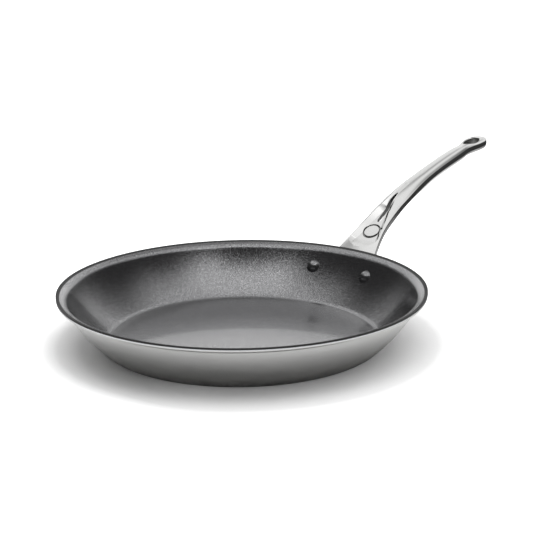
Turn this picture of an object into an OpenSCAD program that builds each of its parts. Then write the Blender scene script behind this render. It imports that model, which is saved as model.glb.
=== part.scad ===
// Frying pan of clad sheet with a non-stick inside and a cast handle on two rivets.
// Millimetres. The origin is the middle of the flat underside, +Z is up, and the
// handle points along +X. Depth into the sheet is measured square to its outer face.

/* [Pan body] */
// Outside radius of the rim
rim_r = 140; // [120:1:160]
// Height of the rim above the underside
pan_h = 42; // [38:0.5:50]
// Outside bend radius between the base and the wall
corner_r = 11; // [8:0.5:16]
// Slope of the wall where it leaves the corner bend
wall_foot_angle = 42; // [38:1:46]
// Slope of the wall just under the lip
wall_top_angle = 61; // [58:1:66]
// Slope of the pouring lip
lip_angle = 20; // [14:1:26]
// Bend radius under the lip
lip_bend_r = 4; // [3:0.5:6]
// Width of the straight part of the lip, seen from above
lip_flat_w = 3.9; // [3:0.1:6]

/* [Sheet] */
// Thickness of the outer magnetic steel
outer_steel_t = 0.5; // [0.4:0.05:0.7]
// Thickness of the pure aluminium that bonds the core to the outer steel
lower_bond_t = 0.3; // [0.2:0.05:0.4]
// Thickness of the aluminium alloy core
core_t = 1; // [0.8:0.1:1.4]
// Thickness of the pure aluminium that bonds the core to the inner steel
upper_bond_t = 0.3; // [0.2:0.05:0.4]
// Thickness of the inner steel
inner_steel_t = 0.4; // [0.3:0.05:0.6]
// Thickness of the non-stick coat
coat_t = 0.2; // [0.15:0.05:0.3]

/* [Rivets] */
// Distance between the two rivets
rivet_gap = 53; // [46:1:58]
// Height of the rivets on the outside of the wall
rivet_h = 25; // [23:0.5:27]
// Diameter of a rivet's shank
shank_d = 6; // [5:0.5:7]
// Diameter of a rivet's head
head_d = 10.5; // [9.5:0.5:13]
// Height of a rivet's head
head_h = 3.4; // [2.5:0.1:4]
// Diameter of the tail formed behind the flange
tail_d = 9.5; // [8.5:0.5:12]
// Height of that tail
tail_h = 2; // [1.5:0.1:3]
// Play between a shank and its hole
rivet_clear = 0.15; // [0.1:0.05:0.3]

/* [Handle] */
// Reach of the handle beyond the rim
handle_reach = 199; // [180:1:240]
// Height of the handle's long edges at the tip, above the rim
tip_rise = 61; // [45:1:80]
// Thickness of the flange on the wall
flange_t = 4; // [3:0.1:5]
// Radius of the flange round each rivet
flange_boss_r = 9; // [8:0.5:11]
// Width of the handle as it leaves the wall
root_w = 41; // [38:1:50]
// Width where the two rails begin
shoulder_w = 27; // [25:0.5:30]
// Width across the rails half way along the slot
fork_w = 21.4; // [20:0.2:24]
// Width of the grip
grip_w = 14.4; // [13:0.2:18]
// Width of the neck before the hanging eye
neck_w = 12; // [11:0.2:16]
// Width across the hanging eye
eye_w = 19.4; // [18:0.2:24]
// Rise of the crowned top above the long edges at the rails
fork_crown_h = 5; // [4:0.1:6]
// Rise of the crowned top above the long edges at the grip
grip_crown_h = 3.6; // [2.5:0.1:4.5]
// Height of the sides at the rails
fork_side_h = 4; // [3.5:0.1:5]
// Height of the sides at the grip
grip_side_h = 3.7; // [3:0.1:5]
// Height of the chamfer under the grip
grip_chamfer_h = 2.3; // [1:0.1:3]

/* [Valley, slot, disc and eye] */
// Width of the sunk panel at its widest
panel_w = 26.8; // [22:0.2:28]
// Depth of the panel under its upper edges
panel_depth = 3.4; // [2.6:0.1:3.8]
// Thickness of the casting under the panel
floor_t = 2.4; // [2.2:0.1:3.5]
// Depth of the valley between the rails
valley_depth = 3.7; // [2.5:0.1:4.5]
// Slope of the walls of the panel and the valley
hollow_slope = 40; // [34:1:50]
// Width of the slot along the valley
slot_w = 3.4; // [2:0.1:4]
// Diameter of the ring groove round the plain disc
ring_d = 15.8; // [12:0.2:16]
// Width of the ring groove
ring_w = 1.3; // [0.8:0.1:1.6]
// Height of the disc above the panel
disc_h = 0.5; // [0.2:0.1:1]
// Width of the hanging eye's opening
eye_open_w = 12.4; // [9:0.2:13]

/* [Hidden] */
turn_facets = 180;
round_facets = 48;
corner_steps = 9;
wall_steps = 14;
lip_steps = 7;
crown_steps = 4;
// How far a cutting solid runs past what it cuts
overrun = 1;

// Depths of the faces between the plies
depth_1 = outer_steel_t;
depth_2 = depth_1 + lower_bond_t;
depth_3 = depth_2 + core_t;
depth_4 = depth_3 + upper_bond_t;
metal_t = depth_4 + inner_steel_t;
sheet_t = metal_t + coat_t;
// The coat wraps over the cut edge, so the metal stops short of the rim by its thickness
metal_edge_r = rim_r - coat_t;

// Where the wall meets the bend under the lip, on the outer face
wall_top_r = rim_r - lip_flat_w - lip_bend_r * (sin(wall_top_angle) - sin(lip_angle));
wall_top_z = pan_h - sheet_t / cos(lip_angle) - lip_flat_w * tan(lip_angle)
    - lip_bend_r * (cos(lip_angle) - cos(wall_top_angle));
// The wall bows gently outward, on one arc from the corner bend to the lip
corner_top_z = corner_r * (1 - cos(wall_foot_angle));
bow_r = (wall_top_z - corner_top_z) / (cos(wall_foot_angle) - cos(wall_top_angle));
base_flat_r = wall_top_r - bow_r * (sin(wall_top_angle) - sin(wall_foot_angle))
    - corner_r * sin(wall_foot_angle);
corner_c = [base_flat_r, corner_r];
bow_c = corner_c + (corner_r - bow_r) * slope_out(wall_foot_angle);
lip_c = bow_c + (bow_r + lip_bend_r) * slope_out(wall_top_angle);

// Unit vector square to a line that climbs at this slope, pointing out and down
function slope_out(slope) = [sin(slope), -cos(slope)];

// Points of an arc round a centre, from one slope to another
function arc_points(centre, radius, slope_a, slope_b, steps) =
    [for (i = [0 : steps]) centre + radius * slope_out(slope_a + (slope_b - slope_a) * i / steps)];

function reversed(list) = [for (i = [len(list) - 1 : -1 : 0]) list[i]];

// Height of the lip at a radius, at a depth into the sheet
function lip_z(depth, radius) =
    let (p = lip_c - (lip_bend_r + depth) * slope_out(lip_angle)) p[1] + (radius - p[0]) * tan(lip_angle);

// Half section of one face of the sheet, from the axis out to a radius on the lip
function face_line(depth, radius) = concat(
    [[0, depth]],
    arc_points(corner_c, corner_r - depth, 0, wall_foot_angle, corner_steps),
    wall_line(depth, wall_foot_angle + wall_step, wall_top_angle, wall_steps - 1),
    arc_points(lip_c, -lip_bend_r - depth, wall_top_angle - lip_step, lip_angle, lip_steps - 1),
    [[radius, lip_z(depth, radius)]]);
wall_step = (wall_top_angle - wall_foot_angle) / wall_steps;
lip_step = (wall_top_angle - lip_angle) / lip_steps;
function wall_line(depth, slope_a, slope_b, steps) =
    arc_points(bow_c, bow_r - depth, slope_a, slope_b, steps);

// Slope, radius and half angle of the rivets' seats on the outer face of the wall
rivet_slope = acos((bow_c[1] - rivet_h) / bow_r);
rivet_r = bow_c[0] + bow_r * sin(rivet_slope);
rivet_turn = asin(rivet_gap / 2 / rivet_r);
hole_d = shank_d + 2 * rivet_clear;

// One layer of the sheet between two depths, without its rivet holes
module layer(depth_a, depth_b) {
    rotate_extrude($fn = turn_facets)
        polygon(concat(face_line(depth_a, metal_edge_r), reversed(face_line(depth_b, metal_edge_r))));
}

// Puts its children on a rivet's axis, with zero height on the outer face and +Z into the pan
module at_rivet(side) {
    rotate([0, 0, side * rivet_turn])
        translate([rivet_r, 0, rivet_h])
            rotate([0, -rivet_slope, 0])
                children();
}

// The holes that both shanks pass through
module rivet_holes() {
    for (side = [-1, 1])
        at_rivet(side)
            translate([0, 0, -flange_t - overrun])
                cylinder(d = hole_d, h = flange_t + sheet_t + 2 * overrun, $fn = round_facets);
}

module ply(depth_a, depth_b) {
    difference() {
        layer(depth_a, depth_b);
        rivet_holes();
    }
}

// Radius of the ball whose cap has this width and height
function cap_ball_r(width, height) = (width * width / 4 + height * height) / (2 * height);

// Cap of a ball above zero height, with this width and height, thickened all over by grow
module dome(width, height, grow = 0) {
    ball_r = cap_ball_r(width, height);
    intersection() {
        translate([0, 0, height - ball_r])
            sphere(r = ball_r + grow, $fn = round_facets);
        cylinder(d = width + 2 * grow + overrun, h = height + grow + overrun, $fn = round_facets);
    }
}

module outer_steel_ply() {
    color([0.66, 0.66, 0.65]) ply(0, depth_1);
}

module lower_bond_ply() {
    color([0.80, 0.81, 0.82]) ply(depth_1, depth_2);
}

module alloy_core_ply() {
    color([0.74, 0.75, 0.77]) ply(depth_2, depth_3);
}

module upper_bond_ply() {
    color([0.80, 0.81, 0.82]) ply(depth_3, depth_4);
}

module inner_steel_ply() {
    color([0.70, 0.70, 0.69]) ply(depth_4, metal_t);
}

// The coat lies on the inner steel, wraps over the cut edge and runs over the rivet heads
module nonstick_coat() {
    wrap_z = lip_z(0, metal_edge_r);
    skin = concat(face_line(metal_t, metal_edge_r), [[metal_edge_r, wrap_z], [rim_r, wrap_z]],
        reversed(face_line(sheet_t, rim_r)));
    color([0.22, 0.22, 0.23])
        difference() {
            union() {
                rotate_extrude($fn = turn_facets) polygon(skin);
                for (side = [-1, 1])
                    at_rivet(side)
                        translate([0, 0, metal_t + coat_t * 3 / 4])
                            dome(head_d, head_h - coat_t * 3 / 4, coat_t);
            }
            for (side = [-1, 1])
                at_rivet(side) rivet_head_cut();
        }
}

// Space inside the coat for a rivet's head
module rivet_head_cut() {
    ball_r = cap_ball_r(head_d, head_h);
    intersection() {
        translate([0, 0, metal_t + head_h - ball_r]) sphere(r = ball_r, $fn = round_facets);
        translate([0, 0, metal_t - overrun])
            cylinder(d = 2 * ball_r, h = head_h + 2 * overrun, $fn = round_facets);
    }
}

// One rivet: domed head on the inner steel, shank through sheet and flange, domed tail outside
module rivet(side) {
    shank_h = flange_t + tail_h / 2 + metal_t + head_h / 2;
    color([0.62, 0.62, 0.61])
        difference() {
            at_rivet(side) {
                translate([0, 0, metal_t]) dome(head_d, head_h);
                translate([0, 0, -flange_t - tail_h / 2])
                    cylinder(d = shank_d, h = shank_h, $fn = round_facets);
                translate([0, 0, -flange_t]) rotate([180, 0, 0]) dome(tail_d, tail_h);
            }
            seat_ring(side);
        }
}

// The sheet round the shank: it trims a head to the hollow of the wall
module seat_ring(side) {
    difference() {
        layer(0, metal_t);
        at_rivet(side)
            translate([0, 0, -overrun])
                cylinder(d = hole_d, h = metal_t + 2 * overrun, $fn = round_facets);
    }
}

module left_rivet() rivet(1);

module right_rivet() rivet(-1);

// The handle's long edges follow one curve from the flange to the tip
tip_x = rim_r + handle_reach;
root_depth_share = 0.75;
root_pull_share = 0.3;
tip_pull_share = 0.57;
root_slope = 44;
tip_slope = 8;
edge_a = [rivet_r, rivet_h] + flange_t * root_depth_share * slope_out(rivet_slope);
edge_b = edge_a + handle_reach * root_pull_share * [cos(root_slope), sin(root_slope)];
edge_d = [tip_x, pan_h + tip_rise];
edge_c = edge_d - handle_reach * tip_pull_share * [cos(tip_slope), sin(tip_slope)];

function edge(t) = pow(1 - t, 3) * edge_a + 3 * t * pow(1 - t, 2) * edge_b
    + 3 * t * t * (1 - t) * edge_c + t * t * t * edge_d;
function edge_run(t) =
    let (run = pow(1 - t, 2) * (edge_b - edge_a) + 2 * t * (1 - t) * (edge_c - edge_b)
        + t * t * (edge_d - edge_c))
    run / norm(run);
// Parameter of that curve at a distance from the pan's axis, by halving
halvings = 26;
function edge_at(x, low = 0, high = 1, turns = halvings) =
    let (mid = (low + high) / 2)
    turns == 0 ? mid
        : edge(mid)[0] < x ? edge_at(x, mid, high, turns - 1) : edge_at(x, low, mid, turns - 1);

// Fair line through a table of [share of the reach, value]
function knot(table, u, i = 0) = i >= len(table) - 2 || u < table[i + 1][0] ? i : knot(table, u, i + 1);
function lean(table, i) =
    let (a = max(i - 1, 0), b = min(i + 1, len(table) - 1))
    (table[b][1] - table[a][1]) / (table[b][0] - table[a][0]);
function fair(table, u) =
    let (i = knot(table, u), span = table[i + 1][0] - table[i][0])
    let (t = min(1, max(0, (u - table[i][0]) / span)))
    table[i][1] * (1 + 2 * t) * pow(1 - t, 2) + lean(table, i) * span * t * pow(1 - t, 2)
    + table[i + 1][1] * t * t * (3 - 2 * t) - lean(table, i + 1) * span * t * t * (1 - t);

// Places along the handle, as shares of its reach beyond the rim
root_share = (edge_a[0] - rim_r) / handle_reach;
panel_low_share = 0.048;
panel_wide_share = 0.092;
disc_share = 0.138;
slot_low_share = 0.185;
slot_tip_share = 0.343;
valley_tip_share = 0.42;
middle_share = 0.6;
eye_low_share = 0.855;
eye_wide_share = 0.915;
eye_high_share = 0.957;
tip_wide_share = 0.943;

// Widths, heights and depths along the handle
widths_at_shares = [[0, root_w], [0.13, shoulder_w], [0.265, fork_w],
    [0.35, (5 * fork_w + grip_w) / 6], [0.49, (fork_w + 3 * grip_w) / 4], [0.61, grip_w * 1.02],
    [0.71, grip_w], [0.785, (3 * grip_w + neck_w) / 4], [0.838, neck_w],
    [0.875, (3 * neck_w + eye_w) / 4], [0.91, (neck_w + 3 * eye_w) / 4], [tip_wide_share, eye_w]];
sides_at_shares = [[root_share, fork_side_h / 3], [0.02, fork_side_h * 0.7], [0.13, fork_side_h * 0.8],
    [0.22, fork_side_h], [0.35, fork_side_h * 0.9], [0.46, fork_side_h], [0.54, grip_side_h],
    [0.95, grip_side_h], [1, grip_side_h * 0.8]];
chamfers_at_shares = [[root_share, grip_chamfer_h / 8], [0.02, grip_chamfer_h / 4],
    [0.36, grip_chamfer_h / 4], [0.48, grip_chamfer_h], [0.95, grip_chamfer_h], [1, grip_chamfer_h / 2]];
crowns_at_shares = [[root_share, fork_crown_h * 0.15], [0, fork_crown_h * 0.3],
    [panel_low_share, fork_crown_h * 0.5], [0.1, fork_crown_h * 0.75], [0.2, fork_crown_h],
    [0.3, fork_crown_h], [0.43, (fork_crown_h + grip_crown_h) / 2], [0.55, grip_crown_h],
    [0.83, grip_crown_h * 0.95], [0.9, grip_crown_h * 0.7], [1, grip_crown_h * 0.4]];
// Upper edge of the panel and the valley, from the panel's widest place to where the valley runs out
creases_at_shares = [[panel_wide_share, panel_w * 0.5], [0.12, panel_w * 0.455], [0.155, panel_w * 0.41],
    [0.178, panel_w * 0.35], [0.193, panel_w * 0.31], [0.21, panel_w * 0.272], [0.235, panel_w * 0.254],
    [0.255, panel_w * 0.224], [0.275, panel_w * 0.19], [0.3, panel_w * 0.112], [0.325, panel_w * 0.078],
    [0.35, panel_w * 0.06], [0.38, panel_w * 0.037], [valley_tip_share, 0]];
// Depth of the floor of the panel and the valley under those edges
depths_at_shares = [[panel_low_share, 0], [0.062, panel_depth * 0.35], [0.085, panel_depth * 0.8],
    [0.11, panel_depth], [0.16, panel_depth], [0.21, valley_depth], [0.255, valley_depth],
    [0.27, valley_depth * 0.7], [0.285, valley_depth * 0.43], [0.3, valley_depth * 0.22],
    [0.345, valley_depth * 0.16], [0.38, valley_depth * 0.1], [valley_tip_share, 0]];
ring_depth = 0.9;
edge_round = 0.8;
rail_edge_w = 1.6;
slot_ledge_w = 0.3;
slot_round_w = 3;
eye_bevel_w = 1;
eye_bevel_h = 0.6;
chamfer_in_share = 0.4;
tip_power = 2.2;
eye_point_power = 0.8;
crease_min_share = 0.2;

// Rounded run-in from 0 to 1 over v from 0 to 1
function round_in(v) = v <= 0 ? 0 : v >= 1 ? 1 : sqrt(1 - pow(1 - v, 2));
function between(u, low, high) = (u - low) / (high - low);

function half_w(u) = let (v = between(u, tip_wide_share, 1))
    fair(widths_at_shares, u) / 2 * (v <= 0 ? 1 : pow(max(0, 1 - pow(v, tip_power)), 1 / tip_power));

function panel_half(u) = u <= panel_low_share || u >= valley_tip_share ? 0
    : min(half_w(u) - rail_edge_w,
        fair(creases_at_shares, u) * round_in(between(u, panel_low_share, panel_wide_share)));

function slot_half(u) = u <= slot_low_share || u >= slot_tip_share ? 0
    : slot_w / 2 * round_in((u - slot_low_share) * handle_reach / slot_round_w)
        * round_in(between(u, slot_tip_share, slot_low_share) * 2);

function eye_half(u) = u <= eye_low_share || u >= eye_high_share ? 0
    : eye_open_w / 2 * (u < eye_wide_share
        ? pow(sin(90 * between(u, eye_low_share, eye_wide_share)), eye_point_power)
        : pow(1 - pow(between(u, eye_wide_share, eye_high_share), tip_power), 1 / tip_power));

function open_half(u) = u < middle_share ? slot_half(u) : eye_half(u);
function crease_half(u) =
    max(u < middle_share ? panel_half(u) : eye_half(u) + eye_bevel_w, half_w(u) * crease_min_share);

// Half section at a share of the reach, as [across, above the long edges]: the floor of a
// hollow or the rim of an opening, the crowned top, the rounded long edge, side and underside
function half_section(u) =
    let (w = half_w(u), thin = min(1, w * 2 / grip_w), s = fair(sides_at_shares, u))
    let (c = fair(crowns_at_shares, u) * thin, f = fair(chamfers_at_shares, u) * thin)
    let (g = open_half(u), k = crease_half(u), e = min(edge_round, w / 4))
    let (sunk = u < middle_share && panel_half(u) > 0)
    let (run = sunk ? fair(depths_at_shares, u) / tan(hollow_slope) : eye_bevel_w)
    let (b = max(k - max(run, slot_ledge_w), g + slot_ledge_w))
    let (drop = eye_bevel_h * min(1, eye_half(u) / eye_bevel_w))
    let (crown = function (y) c * (1 - pow(y / w, 2)))
    let (sunk_z = crown(k) - fair(depths_at_shares, u))
    let (floor_z = function (y) sunk ? min(crown(y), sunk_z) : crown(y) - drop)
    concat(
        [[g, floor_z(g)], [b, floor_z(b)]],
        [for (q = [0 : 1 / crown_steps : 1]) let (y = k + (w - e / 2 - k) * q) [y, crown(y)]],
        [[w, -e / 2], [w, -s], [w - f * chamfer_in_share, -s - f], [g, min(-s - f, floor_z(g) - floor_t)]]);

// A section point set in the pan's frame, on one side of the handle
function placed(u, p, side) =
    let (t = edge_at(rim_r + handle_reach * u), o = edge(t), run = edge_run(t))
    [o[0] - p[1] * run[1], side * p[0], o[1] + p[1] * run[0]];

// Shares at which sections stand: even runs, closer where an outline is round
function even(a, b, n) = [for (i = [0 : n - 1]) a + (b - a) * i / n];
function closing(a, b, n) = [for (i = [0 : n - 1]) a + (b - a) * sin(90 * i / n)];
function opening(a, b, n) = [for (i = [0 : n - 1]) a + (b - a) * (1 - cos(90 * i / n))];
tip_cut_share = 0.999;
slot_close_share = 0.3;
neck_share = 0.8;
slot_round_share = slot_low_share + slot_round_w / handle_reach;
station_shares = concat(
    even(root_share, 0, 3), even(0, panel_low_share, 3), opening(panel_low_share, panel_wide_share, 6),
    even(panel_wide_share, slot_low_share, 7), opening(slot_low_share, slot_round_share, 4),
    even(slot_round_share, slot_close_share, 8), closing(slot_close_share, slot_tip_share, 5),
    even(slot_tip_share, valley_tip_share, 5), even(valley_tip_share, middle_share, 5),
    even(middle_share, neck_share, 5), even(neck_share, eye_low_share, 4),
    opening(eye_low_share, eye_wide_share, 7), closing(eye_wide_share, eye_high_share, 7),
    closing(eye_high_share, tip_cut_share, 6), [tip_cut_share]);

// The cast body: sections joined by triangles, open where the two rails part and at the eye
module lofted_body() {
    sections = [for (u = station_shares) half_section(u)];
    m = len(station_shares);
    n = len(sections[0]);
    points = concat(
        [for (i = [0 : m - 1]) for (p = sections[i]) placed(station_shares[i], p, 1)],
        [for (i = [0 : m - 1]) for (p = sections[i]) placed(station_shares[i], p, -1)]);
    shut = [for (u = station_shares) open_half(u) == 0];
    // The two sides share their middle points wherever the body is shut
    shared = function (i, j) shut[i] && (j == 0 || j == n - 1);
    id = function (side, i, j) side == 1 || shared(i, j) ? i * n + j : (m + i) * n + j;
    quad = function (side, a, b, c, d) side == 1 ? [[a, c, b], [a, d, c]] : [[a, b, c], [a, c, d]];
    skin = [for (side = [1, -1]) for (i = [0 : m - 2]) for (j = [0 : n - 1])
        let (next = (j + 1) % n)
        if (next != 0 || !(shut[i] && shut[i + 1]))
            let (a = id(side, i, j), b = id(side, i + 1, j), c = id(side, i + 1, next))
                each quad(side, a, b, c, id(side, i, next))];
    caps = [for (side = [1, -1]) for (j = [0 : n - 3])
        each [
            side == 1 ? [id(1, 0, n - 1), id(1, 0, j + 1), id(1, 0, j)]
                : [id(-1, 0, n - 1), id(-1, 0, j), id(-1, 0, j + 1)],
            side == 1 ? [id(1, m - 1, n - 1), id(1, m - 1, j), id(1, m - 1, j + 1)]
                : [id(-1, m - 1, n - 1), id(-1, m - 1, j + 1), id(-1, m - 1, j)]]];
    polyhedron(points = points, faces = concat(skin, caps), convexity = 8);
}

// The flange: a plate that follows the outside of the wall, round at both rivets
module flange() {
    turn_half = rivet_turn + 1.2 * asin(flange_boss_r / rivet_r);
    low_slope = wall_foot_angle + wall_step;
    intersection() {
        rotate([0, 0, -turn_half])
            rotate_extrude(angle = 2 * turn_half, $fn = turn_facets)
                polygon(concat(wall_line(0, low_slope, wall_top_angle, wall_steps - 1),
                    reversed(wall_line(-flange_t, low_slope, wall_top_angle, wall_steps - 1))));
        translate([rivet_r, 0, rivet_h])
            rotate([0, -rivet_slope, 0])
                translate([0, 0, -2 * flange_t - overrun])
                    linear_extrude(height = 3 * flange_t)
                        flange_outline();
    }
}

// Outline of the flange, with +X up the wall
module flange_outline() {
    hull() {
        for (side = [-1, 1])
            translate([0, side * rivet_gap / 2]) circle(r = flange_boss_r, $fn = round_facets);
        translate([-flange_boss_r / 3, 0]) circle(r = flange_boss_r * 4 / 3, $fn = round_facets);
        for (side = [-1, 1])
            translate([flange_boss_r, side * root_w / 3]) circle(r = flange_boss_r / 3, $fn = round_facets);
    }
}

// Puts its children on the sunk panel at the disc, with +Z square to the handle
module at_disc() {
    t = edge_at(rim_r + handle_reach * disc_share);
    translate([edge(t)[0], 0, edge(t)[1]])
        rotate([0, -atan2(edge_run(t)[1], edge_run(t)[0]), 0])
            translate([0, 0, half_section(disc_share)[0][1]])
                children();
}

// Round pocket in the panel's floor, cut clear through whatever stands over it
module disc_pocket() {
    at_disc()
        translate([0, 0, -ring_depth])
            cylinder(d = ring_d, h = ring_depth + panel_depth + fork_crown_h, $fn = round_facets);
}

// The plain disc, which leaves a ring of the pocket open as a groove round it
module disc() {
    at_disc()
        translate([0, 0, -ring_depth - overrun])
            cylinder(d = ring_d - 2 * ring_w, h = ring_depth + overrun + disc_h, $fn = round_facets);
}

// The whole handle is one stainless casting
module handle() {
    color([0.83, 0.83, 0.82])
        difference() {
            union() {
                difference() {
                    lofted_body();
                    disc_pocket();
                }
                flange();
                disc();
            }
            rivet_holes();
        }
}

outer_steel_ply();
lower_bond_ply();
alloy_core_ply();
upper_bond_ply();
inner_steel_ply();
nonstick_coat();
handle();
left_rivet();
right_rivet();
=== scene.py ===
# A frying pan: clad steel body, dark non-stick inside, cast handle on two rivets.
# It stands on a pale floor, in metres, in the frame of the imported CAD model.
import math

import bmesh
import bpy
from mathutils import Matrix, Vector


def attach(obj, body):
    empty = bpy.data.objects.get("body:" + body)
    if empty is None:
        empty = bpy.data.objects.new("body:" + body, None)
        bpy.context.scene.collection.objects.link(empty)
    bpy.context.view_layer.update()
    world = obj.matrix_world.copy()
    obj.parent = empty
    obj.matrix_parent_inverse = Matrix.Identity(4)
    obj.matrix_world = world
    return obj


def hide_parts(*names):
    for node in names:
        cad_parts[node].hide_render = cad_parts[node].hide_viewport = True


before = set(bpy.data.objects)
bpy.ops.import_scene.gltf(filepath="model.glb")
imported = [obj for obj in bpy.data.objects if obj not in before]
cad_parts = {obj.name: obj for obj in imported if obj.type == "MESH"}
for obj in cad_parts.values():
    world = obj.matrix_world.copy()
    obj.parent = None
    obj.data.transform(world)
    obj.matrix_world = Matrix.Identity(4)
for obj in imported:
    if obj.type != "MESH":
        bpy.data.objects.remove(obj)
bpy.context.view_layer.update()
MM = 0.001


# THE PRESSED SHEET
# Five rolled plies are pressed to one dish: a flat base, a corner bend, a gently bowed
# wall and a flared lip. Every face is the same outline, moved inward by its depth.
RIM_R = 140 * MM
PAN_H = 42 * MM
CORNER_R = 11 * MM
WALL_FOOT = math.radians(42)
WALL_TOP = math.radians(61)
LIP = math.radians(20)
LIP_BEND_R = 4 * MM
LIP_FLAT_W = 3.9 * MM
METAL_T = 2.5 * MM
COAT_T = 0.2 * MM
OUTER_STEEL_T = 0.5 * MM
SHEET_T = METAL_T + COAT_T
METAL_EDGE_R = RIM_R - COAT_T
BASE_SHARES = (0, 0.02, 0.25, 0.5, 0.75, 0.9, 1)
CORNER_STEPS = 16
WALL_STEPS = 24
LIP_STEPS = 10


def slope_out(slope):
    """Unit vector, as radius and height, square to a climbing line and pointing out and down."""
    return Vector((math.sin(slope), -math.cos(slope)))


WALL_TOP_R = RIM_R - LIP_FLAT_W - LIP_BEND_R * (math.sin(WALL_TOP) - math.sin(LIP))
WALL_TOP_Z = (PAN_H - SHEET_T / math.cos(LIP) - LIP_FLAT_W * math.tan(LIP)
              - LIP_BEND_R * (math.cos(LIP) - math.cos(WALL_TOP)))
CORNER_TOP_Z = CORNER_R * (1 - math.cos(WALL_FOOT))
BOW_R = (WALL_TOP_Z - CORNER_TOP_Z) / (math.cos(WALL_FOOT) - math.cos(WALL_TOP))
BASE_FLAT_R = (WALL_TOP_R - BOW_R * (math.sin(WALL_TOP) - math.sin(WALL_FOOT))
               - CORNER_R * math.sin(WALL_FOOT))
CORNER_C = Vector((BASE_FLAT_R, CORNER_R))
BOW_C = CORNER_C + (CORNER_R - BOW_R) * slope_out(WALL_FOOT)
LIP_C = BOW_C + (BOW_R + LIP_BEND_R) * slope_out(WALL_TOP)


def arc(centre, radius, slope_a, slope_b, steps):
    """Points of an arc from one slope to another, without the first."""
    return [centre + radius * slope_out(slope_a + (slope_b - slope_a) * (i + 1) / steps)
            for i in range(steps)]


def lip_z(depth, radius):
    """Height of the lip at a radius, at a depth into the sheet."""
    foot = LIP_C - (LIP_BEND_R + depth) * slope_out(LIP)
    return foot[1] + (radius - foot[0]) * math.tan(LIP)


def face_line(depth, radius):
    """Half outline of one face of the sheet, from the axis to a radius on the lip."""
    base = [Vector((BASE_FLAT_R * share, depth)) for share in BASE_SHARES]
    corner = arc(CORNER_C, CORNER_R - depth, 0, WALL_FOOT, CORNER_STEPS)
    wall = arc(BOW_C, BOW_R - depth, WALL_FOOT, WALL_TOP, WALL_STEPS)
    bend = arc(LIP_C, -LIP_BEND_R - depth, WALL_TOP, LIP, LIP_STEPS)
    return base + corner + wall + bend + [Vector((radius, lip_z(depth, radius)))]


# THE OUTER PLY
# Magnetic stainless steel, the side that meets the hob. It is ground in circles after
# pressing, so its satin glow runs round the wall.


def mesh_object(name, points, faces, edges=()):
    """An object at the origin with this mesh."""
    mesh = bpy.data.meshes.new(name)
    mesh.from_pydata([tuple(p) for p in points], list(edges), list(faces))
    mesh.validate()
    piece = bpy.data.objects.new(name, mesh)
    bpy.context.scene.collection.objects.link(piece)
    return piece


class Port:
    """A shader socket that takes part in sums, so that a pattern reads as one expression."""

    def __init__(self, shading, socket):
        self.shading = shading
        self.socket = socket

    def maths(self, operation, *others):
        """A Math node on this value and the others."""
        values = dict(enumerate((self,) + others))
        return self.shading.node("ShaderNodeMath", {"operation": operation}, values)

    def __add__(self, other):
        return self.maths("ADD", other)

    def __radd__(self, other):
        return self.maths("ADD", other)

    def __sub__(self, other):
        return self.maths("SUBTRACT", other)

    def __rsub__(self, other):
        return self * -1 + other

    def __mul__(self, other):
        return self.maths("MULTIPLY", other)

    def __rmul__(self, other):
        return self.maths("MULTIPLY", other)

    def __truediv__(self, other):
        return self.maths("DIVIDE", other)

    def __pow__(self, other):
        return self.maths("POWER", other)

    def clamped(self):
        return self.shading.node("ShaderNodeClamp", {}, {"Value": self})

    def rising(self, start, length):
        """A ramp that is 0 up to the start and 1 from a length after it."""
        return ((self - start) / length).clamped()

    def falling(self, end, length):
        """A ramp that is 1 up to a length before the end and 0 from there."""
        return ((end - self) / length).clamped()


class Shading:
    """A tree of shader nodes and the few calls that build it."""

    def __init__(self, owner):
        owner.use_nodes = True
        self.nodes = owner.node_tree.nodes
        self.links = owner.node_tree.links

    def node(self, kind, settings, values, output=0):
        """A new node with its settings and sockets, as the port of one of its outputs."""
        made = self.nodes.new(kind)
        for key, value in settings.items():
            setattr(made, key, value)
        for socket, value in values.items():
            if isinstance(value, Port):
                self.links.new(value.socket, made.inputs[socket])
            else:
                made.inputs[socket].default_value = value
        return Port(self, made.outputs[output])

    def parts(self, vector):
        """The three parts of a vector."""
        split = self.node("ShaderNodeSeparateXYZ", {}, {"Vector": vector})
        return [Port(self, out) for out in split.socket.node.outputs]

    def place(self):
        """The point on the piece, in metres, and its three parts."""
        point = self.node("ShaderNodeTexCoord", {}, {}, "Object")
        return [point] + self.parts(point)

    def noise(self, vector, scale, detail=2.0, roughness=0.5):
        values = {"Vector": vector, "Scale": scale, "Detail": detail, "Roughness": roughness}
        return self.node("ShaderNodeTexNoise", {}, values)

    def vector(self, x, y, z):
        return self.node("ShaderNodeCombineXYZ", {}, {"X": x, "Y": y, "Z": z})

    def mixed(self, factor, colour_a, colour_b):
        """A colour between two others; a Mix node keeps its colours in sockets 6, 7 and output 2."""
        values = {"Factor": factor, 6: colour_a, 7: colour_b}
        return self.node("ShaderNodeMix", {"data_type": "RGBA"}, values, 2)


class Finish(Shading):
    """One procedural material on a principled shader."""

    def __init__(self, name, **constants):
        self.material = bpy.data.materials.new(name)
        super().__init__(self.material)
        self.shader = next(n for n in self.nodes if n.type == "BSDF_PRINCIPLED")
        for socket, value in constants.items():
            self.shader.inputs[socket.replace("_", " ")].default_value = value

    def feed(self, socket, value):
        """Lets a pattern drive a socket of the shader."""
        self.links.new(value.socket, self.shader.inputs[socket])

    def bump(self, height, strength, distance):
        values = {"Strength": strength, "Distance": distance, "Height": height}
        self.feed("Normal", self.node("ShaderNodeBump", {}, values))


TURNING_R = 1.0
TURNS = 288
SEAM_GAP = 0.01 * MM
CREASE_ANGLE = math.radians(32)


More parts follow.
